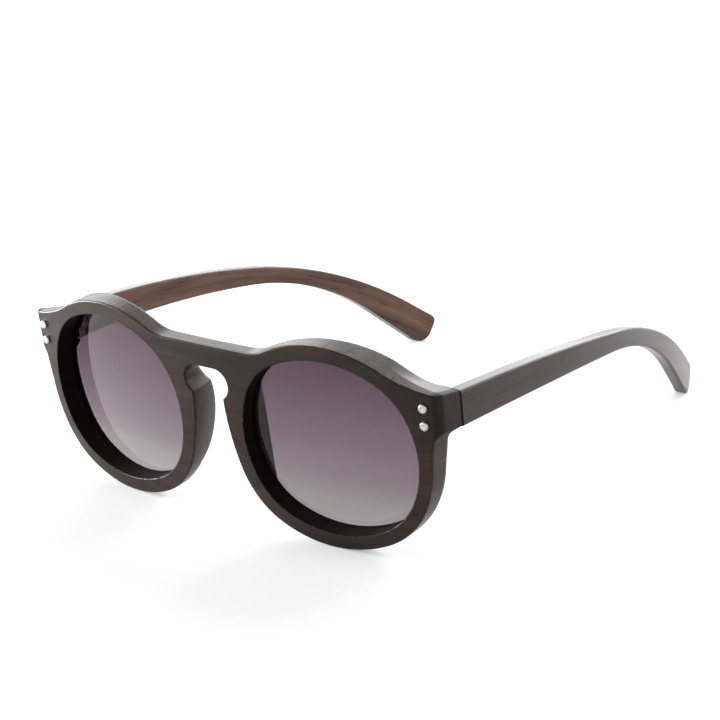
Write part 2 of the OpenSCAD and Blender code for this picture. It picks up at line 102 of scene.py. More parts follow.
# Nose pads
PAD_T = 5.6                 # how far a pad stands out behind the front
PAD_TOP = 15.0
PAD_LOW = -17.0
PAD_SPREAD = 19.0           # how far the nose sides open towards the rear
PAD_INSET = 1.0             # from the lens opening to the pad
PAD_SINK = 0.6              # how far a pad reaches into the rear of the front
PAD_REACH = 19.0            # how far a pad reaches from the middle of the nose

# Hinges and rivets; IN counts from the outer side of the end piece
AXIS_IN = 6.3
AXIS_Y = 14.8
AXIS_Z = 11.2
BARREL_R = 1.5
BARREL_H = 1.9
BARREL_GAP = 0.15
BARREL_ROOM = 0.35          # free room round the barrels
BARREL_END_ROOM = 1.0       # and above and below them
LEAF_Y = 12.0
LEAF_T = 1.0
LEAF_FRONT_IN = 9.3
LEAF_MARGIN = 1.1           # from a rivet's middle to the edge of the leaf
LEAF_PLAY = 0.05            # of a leaf in its pocket
LEAF_ARM_IN = 3.3
LEAF_ARM_L = 13.4
LEAF_ARM_H = 4.0
LEAF_ARM_START = 0.4        # from the arm's end to its leaf
LEAF_ARM_DROP = 2.6         # from the axis down to the lower edge of the arm's leaf
RIVET_IN = 3.9
RIVET_TOP_Z = 14.8
RIVET_LOW_Z = 10.4
RIVET_HEAD_D = 2.2
RIVET_HEAD_H = 0.6
RIVET_SHANK_R = 0.7

# Rounds of the wooden edges
FRONT_EDGE_R = 0.4
OUTLINE_R = 0.7             # corners of the front's outline
OPENING_EDGE_R = 0.3
SWELL_HOLLOW_R = 1.6
REAR_HOLLOW_R = 1.2
ARM_EDGE_R = 0.8
ARM_END_R = 0.3
PAD_REAR_R = 1.6
PAD_WALL_R = 0.8
POCKET_EDGE_R = 0.12
REAR_EDGE_R = 1.0
OUTER_EDGE_MORE = 1.6       # the rear edge is rounder by this at the outer side of a rim
PAD_EDGE_LESS = 0.95        # and sharper by these at the nose pads and at the joint
JOINT_EDGE_LESS = 0.75

# Where a form of the front fades in: where it starts and where it is full
NOSE_FADE = (18, 14)                            # along x
END_FADE = (50, 60)
OUTER_FADE = (30, 55)
JOINT_FADE = (12, 14)                           # along y
KEYHOLE_FADE = (KEYHOLE_TOP, KEYHOLE_TOP - 3)   # along z
UNDER_END_FADE = (END_LOW + 1, END_LOW - 3)
PAD_LOW_FADE = (PAD_LOW - 2, PAD_LOW + 2)
PAD_TOP_FADE = (PAD_TOP + 3, PAD_TOP)

# How the glasses stand on the floor
LEAN_DEG = 6.5
LEAN = math.radians(LEAN_DEG)

half_w, half_h = EYE_W / 2, EYE_H / 2
eye_x = EYE_PITCH / 2
rim_x = eye_x - RIM_SHIFT
split = math.radians(EYE_SPLIT)
share = math.cos(split) - math.sin(split)
cap_sum = (half_w + half_h - 2 * EYE_CORNER_R * share) / (1 - share)
cap_diff = (half_w - half_h) / (math.sin(split) + math.cos(split) - 1)
side_r, cap_r = (cap_sum - cap_diff) / 2, (cap_sum + cap_diff) / 2
corner_x = half_w - side_r + (side_r - EYE_CORNER_R) * math.cos(split)
corner_z = (side_r - EYE_CORNER_R) * math.sin(split)
rim_corner_r = EYE_CORNER_R + RIM_W
end_x = rim_x + half_w + RIM_W + END_OUT
swell_x = end_x - SWELL_IN
axis_x = end_x - AXIS_IN
rivet_x = end_x - RIVET_IN
leaf_front_x = end_x - LEAF_FRONT_IN
leaf_arm_x = end_x - LEAF_ARM_IN
arm_x = end_x - END_TAPER
end_in_x = arm_x - END_T
arm_y = JOINT_Y + JOINT_GAP
arm_cx = arm_x - math.sqrt(ARM_R ** 2 - (ARM_APEX_Y - arm_y) ** 2)
hinge_low_z = AXIS_Z - 1.5 * BARREL_H - BARREL_GAP
hinge_top_z = AXIS_Z + 1.5 * BARREL_H + BARREL_GAP
leaf_top = RIVET_TOP_Z + LEAF_MARGIN
round_x = end_x - END_ROUND
round_y = FRONT_R - math.sqrt((FRONT_R - END_ROUND) ** 2 - round_x ** 2)
rim_low_y = FRONT_R - math.sqrt(FRONT_R ** 2 - rim_x ** 2)
floor_z = rim_low_y * math.sin(LEAN) - (half_h + RIM_W) * math.cos(LEAN)
lift = -floor_z


def up(fall):
    """Direction (y, z) square to a line that falls by an angle in degrees, upwards."""
    return np.array([math.sin(math.radians(fall)), math.cos(math.radians(fall))])


def along(fall):
    """Direction (y, z) of a line that falls by an angle in degrees, backwards."""
    return np.array([math.cos(math.radians(fall)), -math.sin(math.radians(fall))])


def edge(z, falls, bend_y, bend_r):
    """Rounds (middle, radius) of the shaft and the bend of an arm's edge, and where the bend ends."""
    sines = [math.sin(math.radians(f)) for f in falls]
    shaft_r = (bend_y - arm_y) / (sines[1] - sines[0])
    shaft_m = np.array([arm_y, z]) - shaft_r * up(falls[0])
    bend_m = shaft_m + (shaft_r - bend_r) * up(falls[1])
    return (shaft_m, shaft_r), (bend_m, bend_r), bend_m + bend_r * up(falls[2])


shaft_top, bend_top, ear_top = edge(ARM_TOP, TOP_FALLS, BEND_TOP_Y, BEND_TOP_R)
shaft_low, bend_low, ear_low = edge(ARM_LOW, LOW_FALLS, BEND_LOW_Y, BEND_LOW_R)
# the lower corner of the tip stands on the floor, the upper one shares its end face
tip_low = ear_low + TIP_LOW_R * up(LOW_FALLS[2])
tip_low = tip_low + along(LOW_FALLS[2]) * ((tip_low @ up(LEAN_DEG) - floor_z - TIP_LOW_R)
                                           / math.sin(math.radians(LOW_FALLS[2] - LEAN_DEG)))
tip_top = ear_top - TIP_TOP_R * up(TOP_FALLS[2])
tip_reach = tip_low @ up(TIP_TURN) + TIP_LOW_R - TIP_TOP_R
tip_top = tip_top + along(TOP_FALLS[2]) * ((tip_reach - tip_top @ up(TIP_TURN))
                                           / math.sin(math.radians(TIP_TURN - TOP_FALLS[2])))
rear_most = max(m[0] * math.cos(LEAN) - m[1] * math.sin(LEAN) + r
                for m, r in ((tip_top, TIP_TOP_R), (tip_low, TIP_LOW_R)))
shift = (BRIDGE_TOP * math.sin(LEAN) - rear_most) / 2


def stand(p):
    """Points of the upright drawing, in millimetres, as they stand on the floor, in metres."""
    p = np.asarray(p, float)
    x, y, z = p[..., 0], p[..., 1], p[..., 2]
    c, s = math.cos(LEAN), math.sin(LEAN)
    return np.stack([x, y * c - z * s + shift, y * s + z * c + lift], -1) / 1000


def lean_only(v):
    """Directions of the upright drawing, as they stand."""
    v = np.asarray(v, float)
    c, s = math.cos(LEAN), math.sin(LEAN)
    return np.stack([v[..., 0], v[..., 1] * c - v[..., 2] * s, v[..., 1] * s + v[..., 2] * c], -1)


# Distance fields: below 0 inside the solid, in millimetres.
def cut(a, b, r):
    """Both a and b, with the edge between them rounded by r."""
    return np.minimum(-r, np.maximum(a, b)) + np.hypot(np.maximum(a + r, 0), np.maximum(b + r, 0))


def join(a, b, r):
    """Either a or b, with the hollow between them filled by r."""
    return np.maximum(r, np.minimum(a, b)) - np.hypot(np.maximum(r - a, 0), np.maximum(r - b, 0))


def block(x, y, z, lo, hi):
    """A box with square edges."""
    d = [np.maximum(a - v, v - b) for v, a, b in zip((x, y, z), lo, hi)]
    return np.maximum(np.maximum(d[0], d[1]), d[2])


def eye(x, z):
    """Outline of a lens opening about its own middle."""
    x, z = np.abs(x), np.abs(z)
    turn = np.arctan2(z - corner_z, x - corner_x)
    corner = np.hypot(x - corner_x, z - corner_z) - EYE_CORNER_R
    side = np.hypot(x - (half_w - side_r), z) - side_r
    cap = np.hypot(x, z - (half_h - cap_r)) - cap_r
    return np.where(turn > math.pi / 2 - split, cap, np.where(turn < split, side, corner))


def outline_field(points, u, v, skip=()):
    """Distance to a closed outline of points; the segments named in skip bound it but are not walls."""
    u, v = np.broadcast_arrays(u, v)
    best, inside = np.full(u.shape, 1e18), np.zeros(u.shape, bool)
    for i, (a, b) in enumerate(zip(points, points[1:] + points[:1])):
        e, w = (b[0] - a[0], b[1] - a[1]), (u - a[0], v - a[1])
        if i not in skip:
            t = np.clip((w[0] * e[0] + w[1] * e[1]) / (e[0] ** 2 + e[1] ** 2 + 1e-12), 0, 1)
            best = np.minimum(best, (w[0] - t * e[0]) ** 2 + (w[1] - t * e[1]) ** 2)
        crosses = (a[1] <= v) != (b[1] <= v)
        if abs(e[1]) > 1e-12:
            inside ^= crosses & (u < a[0] + (v - a[1]) * e[0] / e[1])
    return np.where(inside, -1, 1) * np.sqrt(best)


def arc(cx, cz, r, a0, a1, steps):
    """Points on a circle from angle a0 to a1, in degrees."""
    turns = [math.radians(a0 + (a1 - a0) * i / steps) for i in range(steps + 1)]
    return [(cx + r * math.cos(t), cz + r * math.sin(t)) for t in turns]


def softened(points, r, sharp, steps=6):
    """A closed outline whose corners are rounded by r, but for slight ones and the points in sharp."""
    slight = math.radians(160)
    made, n = [], len(points)
    for i in range(n):
        p, a, b = (np.array(points[k % n]) for k in (i, i - 1, i + 1))
        u, v = (a - p) / np.linalg.norm(a - p), (b - p) / np.linalg.norm(b - p)
        gap = math.acos(max(-1, min(1, float(u @ v))))
        back = r / math.tan(gap / 2) if gap < slight else 0
        if i in sharp or not back or back > 0.49 * min(np.linalg.norm(a - p), np.linalg.norm(b - p)):
            made.append(tuple(p))
            continue
        mid = p + (u + v) / np.linalg.norm(u + v) * r / math.sin(gap / 2)
        s, e = p + u * back - mid, p + v * back - mid
        swing = math.atan2(s[0] * e[1] - s[1] * e[0], float(s @ e))
        for k in range(steps + 1):
            t = swing * k / steps
            made.append((mid[0] + s[0] * math.cos(t) - s[1] * math.sin(t),
                         mid[1] + s[0] * math.sin(t) + s[1] * math.cos(t)))
    return made


def swept(p0, p1, p2, p3, steps):
    """Points on a smooth S between two points."""
    made = []
    for i in range(steps + 1):
        t = i / steps
        w = ((1 - t) ** 3, 3 * t * (1 - t) ** 2, 3 * t * t * (1 - t), t ** 3)
        made.append(tuple(sum(k * p[j] for k, p in zip(w, (p0, p1, p2, p3))) for j in (0, 1)))
    return made


def half_outline():
    """The left half of the front, seen from the front, from the middle of the bridge clockwise."""
    # the hollow beside the bridge touches the rim's upper corner at the nose
    bridge_z = BRIDGE_TOP + BRIDGE_FILLET_R
    rise = bridge_z - corner_z
    run = math.sqrt((rim_corner_r + BRIDGE_FILLET_R) ** 2 - rise ** 2)
    bridge_turn = math.degrees(math.atan2(rise, -run))
    bridge_x = rim_x - corner_x - run
    # the hollow above the end piece touches the rim's outer corner
    fillet_z = END_TOP + END_FILLET_R
    rise = fillet_z - corner_z
    run = math.sqrt((rim_corner_r + END_FILLET_R) ** 2 - rise ** 2)
    end_turn = math.degrees(math.atan2(rise, run))
    fillet_x = rim_x + corner_x + run
    side_x = end_x + SIDE_SPARE
    side_turn = math.degrees(math.asin((side_x - fillet_x) / END_FILLET_R)) - 90
    k = EYE_SPLIT
    p = [(0, BRIDGE_TOP)]
    p += arc(bridge_x, bridge_z, BRIDGE_FILLET_R, -90, bridge_turn - 180, 12)
    p += arc(rim_x - corner_x, corner_z, rim_corner_r, bridge_turn, 90 + k, 10)
    p += arc(rim_x, half_h - cap_r, cap_r + RIM_W, 90 + k, 90 - k, 16)[1:]
    p += arc(rim_x + corner_x, corner_z, rim_corner_r, 90 - k, end_turn, 10)[1:]
    p += arc(fillet_x, fillet_z, END_FILLET_R, end_turn - 180, side_turn, 14)[1:]
    # under the end piece the side of the rim runs straight up to it
    rim_side = (rim_x + half_w - side_r, side_r + RIM_W)
    flare = (round_x - rim_side[0], END_LOW)
    turn = math.atan2(flare[1], flare[0]) - math.acos(rim_side[1] / math.hypot(*flare))
    touch = (rim_side[0] + rim_side[1] * math.cos(turn), rim_side[1] * math.sin(turn))
    flare_x = touch[0] + (round_x - touch[0]) * (FLARE_TOP - touch[1]) / (END_LOW - touch[1])
    lead = (round_x - touch[0]) / (END_LOW - touch[1])
    p += swept((side_x, END_LOW + SIDE_PULL), (side_x, END_LOW),
               (flare_x + FLARE_PULL * lead, FLARE_TOP + FLARE_PULL), (flare_x, FLARE_TOP), 14)
    p += arc(rim_side[0], 0, rim_side[1], math.degrees(turn), -k, 12)
    p += arc(rim_x + corner_x, -corner_z, rim_corner_r, -k, k - 90, 20)[1:]
    p += arc(rim_x, cap_r - half_h, cap_r + RIM_W, k - 90, -90 - k, 16)[1:]
    p += arc(rim_x - corner_x, -corner_z, rim_corner_r, -90 - k, k - 180, 20)[1:]
    # the rim runs smoothly up to the keyhole
    r = KEYHOLE_H / 2
    meet = math.degrees(math.acos((NECK_W / 2 - KEYHOLE_W / 2 + r) / r))
    neck_z = KEYHOLE_TOP - r - r * math.sin(math.radians(meet))
    turn = math.asin(NECK_SINK / rim_side[1])
    p += arc(rim_x - half_w + side_r, 0, rim_side[1], 180 + k, 180 + math.degrees(turn), 6)[1:]
    a, low_pull, top_pull = p[-1], 6, 5
    p += swept(a, (a[0] - low_pull * math.sin(turn), a[1] + low_pull * math.cos(turn)),
               (NECK_W / 2, neck_z - top_pull), (NECK_W / 2, neck_z), 14)[1:]
    p += arc(KEYHOLE_W / 2 - r, KEYHOLE_TOP - r, r, -meet, 90, 20)
    p += [(0, KEYHOLE_TOP)]
    return p


def thinned(points, least=0.02):
    """The outline without points that lie on each other."""
    made = [points[0]]
    for p in points[1:]:
        if math.dist(p, made[-1]) > least:
            made.append(p)
    return made


RAW = thinned(half_outline())
OUTLINE = thinned(softened(RAW, OUTLINE_R, (0, len(RAW) - 1)))
OPEN_SIDE = (len(OUTLINE) - 1,)     # the segment in the middle of the bridge, where the halves meet


def fade(v, start, full):
    """From 0 at start to 1 at full, without a kink."""
    t = np.clip((v - start) / (full - start), 0, 1)
    return t * t * (3 - 2 * t)


def bow(x, y):
    """Depth behind the bowed front face."""
    return FRONT_R - np.hypot(x, y - FRONT_R)


def behind_back(x, y):
    """Depth behind the rear face, which is bowed more than the front face."""
    return BACK_R - np.hypot(x, y - FRONT_T - BACK_R)


def nose_drift(depth):
    """How far the nose side of the wood has drawn back, by the depth behind the front face."""
    start, full = 1.0, 9.0
    d = np.clip(depth, start, full) - start
    return math.tan(math.radians(PAD_SPREAD)) * (d * d / (2 * (full - start)) + np.maximum(depth - full, 0))


def front_shape(x, z, fall, drift):
    """The front's outline, lowered by fall above the middle of the eyes and moved sideways by drift."""
    shape = outline_field(OUTLINE, x, z, OPEN_SIDE)
    shape, x, z, fall, drift = np.broadcast_arrays(shape, x, z, fall, drift)
    fall = np.where(z > 0, fall, 0)
    shape, on = shape.copy(), (fall > 0) | (drift > 0)
    shape[on] = outline_field(OUTLINE, x[on] - drift[on], z[on] + fall[on], OPEN_SIDE)
    return shape


def front_field(x, y, z):
    """The front, with its end pieces, openings and hinge pockets."""
    x = np.abs(x)
    depth = bow(x, y)
    at_nose = fade(x, *NOSE_FADE)
    # the end piece falls towards the joint, its top more than its lower edge
    run = JOINT_Y - round_y
    low_rate, top_rate = (END_LOW - ARM_LOW) / run, (END_TOP - ARM_TOP) / run
    rate = low_rate + (top_rate - low_rate) * np.clip((z - ARM_LOW) / (END_TOP - ARM_LOW), 0, 1)
    fall = rate * np.maximum(y - round_y, 0) * fade(x, *END_FADE)
    drift = nose_drift(depth) * at_nose * fade(z, *KEYHOLE_FADE)
    shape = front_shape(x, z, fall, drift)
    side = x - end_x + END_TAPER * np.clip((y - round_y) / run, 0, 1)
    solid = cut(shape, cut(-depth, side, END_ROUND), FRONT_EDGE_R)
    # rear face, swelling towards the end piece
    low_y = FRONT_T + BACK_R - math.sqrt(BACK_R ** 2 - swell_x ** 2)
    wide, high = end_in_x - swell_x, SWELL_Y - low_y
    swell = ((y - low_y) * wide - (x - swell_x) * high) / math.hypot(wide, high)
    stub = cut(y - JOINT_Y + SEAM, end_in_x - x, FRONT_EDGE_R)
    behind = cut(join(swell, stub, SWELL_HOLLOW_R), END_LOW - z - fall, REAR_HOLLOW_R)
    rear = join(behind_back(x, y), behind, REAR_HOLLOW_R)
    # its edge is rounded, more so at the outer side of a rim, but square at the nose pads and the joint
    at_pad = at_nose * fade(z, *PAD_LOW_FADE) * fade(z, *PAD_TOP_FADE)
    outside = fade(x, *OUTER_FADE) * fade(z, *UNDER_END_FADE)
    at_joint = fade(y, *JOINT_FADE) * (1 - outside)
    rounding = (REAR_EDGE_R + OUTER_EDGE_MORE * outside
                - PAD_EDGE_LESS * at_pad - JOINT_EDGE_LESS * at_joint)
    solid = cut(solid, rear, rounding)
    solid = cut(solid, -eye(x - eye_x, z), OPENING_EDGE_R)
    pocket = block(x, y, z, (leaf_front_x - LEAF_PLAY, LEAF_Y, hinge_low_z - LEAF_PLAY),
                   (end_in_x, 2 * JOINT_Y, leaf_top + LEAF_PLAY))
    return cut(solid, -pocket, POCKET_EDGE_R)


def pad_field(x, y, z):
    """The left nose pad, behind the rim."""
    depth = behind_back(x, y)
    shape = outline_field(OUTLINE, x - nose_drift(bow(x, y)), z, OPEN_SIDE)
    rise = (PAD_TOP - PAD_LOW) / 2
    pad_r = (rise ** 2 + PAD_T ** 2) / (2 * PAD_T)
    rear = np.hypot(y - (FRONT_T + PAD_T - pad_r), z - (PAD_LOW + rise)) - pad_r
    solid = cut(shape, rear, PAD_REAR_R)
    solid = cut(solid, PAD_INSET - eye(x - eye_x, z), PAD_WALL_R)
    return np.maximum(np.maximum(solid, -PAD_SINK - depth), x - PAD_REACH)


def arm_profile():
    """An arm seen from the side, as points (y, z); it starts in front of the joint."""
    def round_points(m, r, f0, f1, steps):
        return [tuple(m + r * up(f0 + (f1 - f0) * i / steps)) for i in range(steps + 1)]

    lead = 5.0
    p = [(arm_y - lead, ARM_TOP + lead * math.tan(math.radians(TOP_FALLS[0])))]
    p += round_points(*shaft_top, TOP_FALLS[0], TOP_FALLS[1], 16)
    p += round_points(*bend_top, TOP_FALLS[1], TOP_FALLS[2], 30)
    p += round_points(tip_top, TIP_TOP_R, TOP_FALLS[2], TIP_TURN, 16)
    p += round_points(tip_low, TIP_LOW_R, TIP_TURN, 180 + LOW_FALLS[2], 20)
    p += round_points(*bend_low, LOW_FALLS[2], LOW_FALLS[1], 30)
    p += round_points(*shaft_low, LOW_FALLS[1], LOW_FALLS[0], 16)
    p += [(arm_y - lead, ARM_LOW + lead * math.tan(math.radians(LOW_FALLS[0])))]
    return p


ARM = thinned(arm_profile())


def arm_field(x, y, z):
    """The left arm, with the pocket for its hinge leaf."""
    wall = np.abs(np.hypot(x - arm_cx, y - ARM_APEX_Y) - (ARM_R - ARM_T / 2)) - ARM_T / 2
    solid = cut(outline_field(ARM, y, z), wall, ARM_EDGE_R)
    solid = cut(solid, arm_y + SEAM - y, ARM_END_R)
    low = AXIS_Z - LEAF_ARM_DROP - LEAF_PLAY
    far_y = arm_y + LEAF_ARM_START + LEAF_ARM_L + LEAF_PLAY
    pocket = block(x, y, z, (axis_x, 0, low), (leaf_arm_x, far_y, low + LEAF_ARM_H + 2 * LEAF_PLAY))
    room = np.maximum(np.hypot(x - axis_x, y - AXIS_Y) - BARREL_R - BARREL_ROOM,
                      np.maximum(hinge_low_z - BARREL_END_ROOM - z, z - hinge_top_z - BARREL_END_ROOM))
    return cut(solid, -np.minimum(pocket, room), POCKET_EDGE_R)


def slope_of(field, p, h):
    """The field's gradient at points, from values h to each side."""
    g = np.empty_like(p)
    for i in range(3):
        d = np.zeros(3)
        d[i] = h
        a, b = p + d, p - d
        g[:, i] = (field(*a.T) - field(*b.T)) / (2 * h)
    return g


def settle(field, p, most, rounds=2):
    """Points moved onto the surface, each by no more than most in a round."""
    reach, least_slope = 0.02, 0.05
    for _ in range(rounds):
        g = slope_of(field, p, reach)
        step = field(*p.T)[:, None] * g / np.maximum((g * g).sum(1, keepdims=True), least_slope)
        size = np.linalg.norm(step, axis=1, keepdims=True)
        p = p - step * np.minimum(1, most / np.maximum(size, 1e-9))
    return p


def skin(field, lo, hi, step):
    """Points and quads of the surface of a field: one point in each grid cell that it passes."""
    n = [int(math.ceil((b - a) / step)) + 1 for a, b in zip(lo, hi)]
    x, y, z = (a + step * np.arange(k) for a, k in zip(lo, n))
    f = np.array(np.broadcast_to(field(x[:, None, None], y[None, :, None], z[None, None, :]), n))
    inner = f < 0
    corners = list(itertools.product((0, 1), repeat=3))
    count = np.zeros([k - 1 for k in n], np.uint8)
    for c in corners:
        count += inner[c[0]:n[0] - 1 + c[0], c[1]:n[1] - 1 + c[1], c[2]:n[2] - 1 + c[2]]
    met = (count > 0) & (count < 8)
    cells = np.argwhere(met)
    ids = np.full(met.shape, -1, np.int64)
    ids[met] = np.arange(len(cells))
    # a cell's point is the mean of the places where its edges pass the surface
    values = {c: f[tuple((cells + c).T)] for c in corners}
    total, hits = np.zeros((len(cells), 3)), np.zeros(len(cells))
    for c in corners:
        for axis in range(3):
            if c[axis]:
                continue
            d = tuple(1 if i == axis else v for i, v in enumerate(c))
            a, b = values[c], values[d]
            on = (a < 0) != (b < 0)
            t = np.where(on, a / np.where(on, a - b, 1), 0)
            place = np.tile(np.array(c, float), (len(cells), 1))
            place[:, axis] = t
            total += np.where(on[:, None], place, 0)
            hits += on
    points = np.array(lo) + step * (cells + total / hits[:, None])
    # each grid edge that passes the surface has a quad of the four cells about it
    quads = []
    for axis in range(3):
        u, v = (axis + 1) % 3, (axis + 2) % 3
        head = [slice(None)] * 3
        head[axis] = slice(0, -1)
        tail = [slice(None)] * 3
        tail[axis] = slice(1, None)
        flips = inner[tuple(head)] != inner[tuple(tail)]
        at = np.argwhere(flips)
        at = at[(at[:, u] > 0) & (at[:, v] > 0) & (at[:, u] < n[u] - 1) & (at[:, v] < n[v] - 1)]
        out = inner[tuple(head)][tuple(at.T)]
        ring = []
        for du, dv in ((1, 1), (0, 1), (0, 0), (1, 0)):
            cell = at.copy()
            cell[:, u] -= du
            cell[:, v] -= dv
            ring.append(ids[tuple(cell.T)])
        ring = np.stack(ring, 1)
        quads.append(np.where(out[:, None], ring, ring[:, ::-1]))
    return points, np.concatenate(quads)


def new_mesh(name, points, faces):
    """A smooth mesh of points in metres and faces of their numbers."""
    mesh = bpy.data.meshes.new(name)
    mesh.from_pydata([tuple(p) for p in points], [], [tuple(int(i) for i in q) for q in faces],
                     shade_flat=False)
    mesh.update()
    return mesh


def new_object(name, data):
    """An object in the scene, made of a mesh, a lamp or a camera."""
    made = bpy.data.objects.new(name, data)
    bpy.context.scene.collection.objects.link(made)
    return made


def carve(name, field, lo, hi, step, keep, flip=False, paint=None):
    """A piece of wood from its field: meshed, thinned where it is flat, and given its true normals.

    step is the size of a grid cell and keep the share of the faces that stays after thinning;
    paint gives the number of each face's material from the middle of the face."""
    points, quads = skin(field, lo, hi, step)
    points = settle(field, points, step)
    rough = new_object(name + "_rough", new_mesh(name + "_rough", points, quads))
    thin = rough.modifiers.new("thin", "DECIMATE")
    thin.ratio = keep
    made = rough.evaluated_get(bpy.context.evaluated_depsgraph_get()).to_mesh()
    points = np.array([v.co for v in made.vertices], float)
    faces = [list(f.vertices) for f in made.polygons]
    bpy.data.objects.remove(rough)
    points = settle(field, points, step / 2)
    reach = 0.03
    normals = slope_of(field, points, reach)
    normals /= np.maximum(np.linalg.norm(normals, axis=1, keepdims=True), 1e-9)
    if flip:
        mirror = np.array([-1, 1, 1])
        points, normals = points * mirror, normals * mirror
        faces = [f[::-1] for f in faces]
    mesh = new_mesh(name, stand(points), faces)
    if paint:
        numbers = paint(np.array([points[f].mean(0) for f in faces]))
        mesh.polygons.foreach_set("material_index", numbers)
    mesh.normals_split_custom_set_from_vertices([tuple(v) for v in lean_only(normals)])
    return new_object(name, mesh)


def show(piece, body, node, slot, *materials):
    """A piece that stands for a node, rides on a body and has these materials."""
    for material in materials:
        piece.data.materials.append(material)
    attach(piece, body)
    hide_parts(node)


# Materials
def shader(name):
    """A new material, its node tree and its main shader."""
    material = bpy.data.materials.new(name)
    material.use_nodes = True
    tree = material.node_tree
    return material, tree, tree.nodes["Principled BSDF"]


def link(tree, a, out, b, into):
    """Joins an output of node a to an input of node b."""
    tree.links.new(a.outputs[out], b.inputs[into])


def ramp(tree, stops):
    """A colour ramp from stops of (place, colour)."""
    node = tree.nodes.new("ShaderNodeValToRGB")
    band = node.color_ramp
    while len(band.elements) > 1:
        band.elements.remove(band.elements[-1])
    band.elements[0].position, band.elements[0].color = stops[0][0], (*stops[0][1], 1)
    for place, colour in stops[1:]:
        band.elements.new(place).color = (*colour, 1)
    return node


def noise(tree, coords, detail, rough, waves):
    """Noise at a number of waves a metre along each axis; coords is (node, output), in metres."""
    place = tree.nodes.new("ShaderNodeMapping")
    place.inputs["Scale"].default_value = waves
    link(tree, *coords, place, "Vector")
    node = tree.nodes.new("ShaderNodeTexNoise")
    node.inputs["Scale"].default_value = 1
    node.inputs["Detail"].default_value = detail
    node.inputs["Roughness"].default_value = rough
    link(tree, place, "Vector", node, "Vector")
    return node


def math_node(tree, operation, a, b):
    """One step of arithmetic; a and b are numbers or (node, output)."""
    node = tree.nodes.new("ShaderNodeMath")
    node.operation = operation
    for i, v in enumerate((a, b)):
        if isinstance(v, tuple):
            link(tree, *v, node, i)
        else:
            node.inputs[i].default_value = v
    return node


def span_node(tree, source, lo, hi, to_lo=0.0, to_hi=1.0):
    """The number that source (node, output) gives, moved from lo...hi to to_lo...to_hi."""
    node = tree.nodes.new("ShaderNodeMapRange")
    for key, v in (("From Min", lo), ("From Max", hi), ("To Min", to_lo), ("To Max", to_hi)):
        node.inputs[key].default_value = v
    link(tree, *source, node, "Value")
    return node


def scaled(tree, colour, amount):
    """A colour times a number; both are (node, output)."""
    node = tree.nodes.new("ShaderNodeVectorMath")
    node.operation = "SCALE"
    link(tree, *colour, node, 0)
    link(tree, *amount, node, "Scale")
    return node, "Vector"


def background_rays(tree):
    """1 for the rays that see the background: the camera's own and those that glass or gloss send on."""
    rays = tree.nodes.new("ShaderNodeLightPath")
    clear = math_node(tree, "MAXIMUM", (rays, "Is Camera Ray"), (rays, "Is Transmission Ray"))
    return math_node(tree, "MAXIMUM", (clear, "Value"), (rays, "Is Glossy Ray"))


def bent_grain(tree, axes):
    """Coordinates that follow an arm down to the ear, so that its grain does too."""
    rise = 0.03     # slope at the joint
    drop = 12.5     # the arm falls by this times the cube of its reach
    start = (arm_y + shift) / 1000
    reach = math_node(tree, "SUBTRACT", (axes, "Y"), start)
    cubed = math_node(tree, "POWER", (reach, "Value"), 3.0)
    fallen = math_node(tree, "MULTIPLY", (cubed, "Value"), drop)
    risen = math_node(tree, "MULTIPLY", (reach, "Value"), -rise)
    moved = math_node(tree, "ADD", (fallen, "Value"), (risen, "Value"))
    height = math_node(tree, "ADD", (moved, "Value"), (axes, "Z"))
    made = tree.nodes.new("ShaderNodeCombineXYZ")
    link(tree, axes, "Y", made, "Y")
    link(tree, height, "Value", made, "Z")
    return made, "Vector"


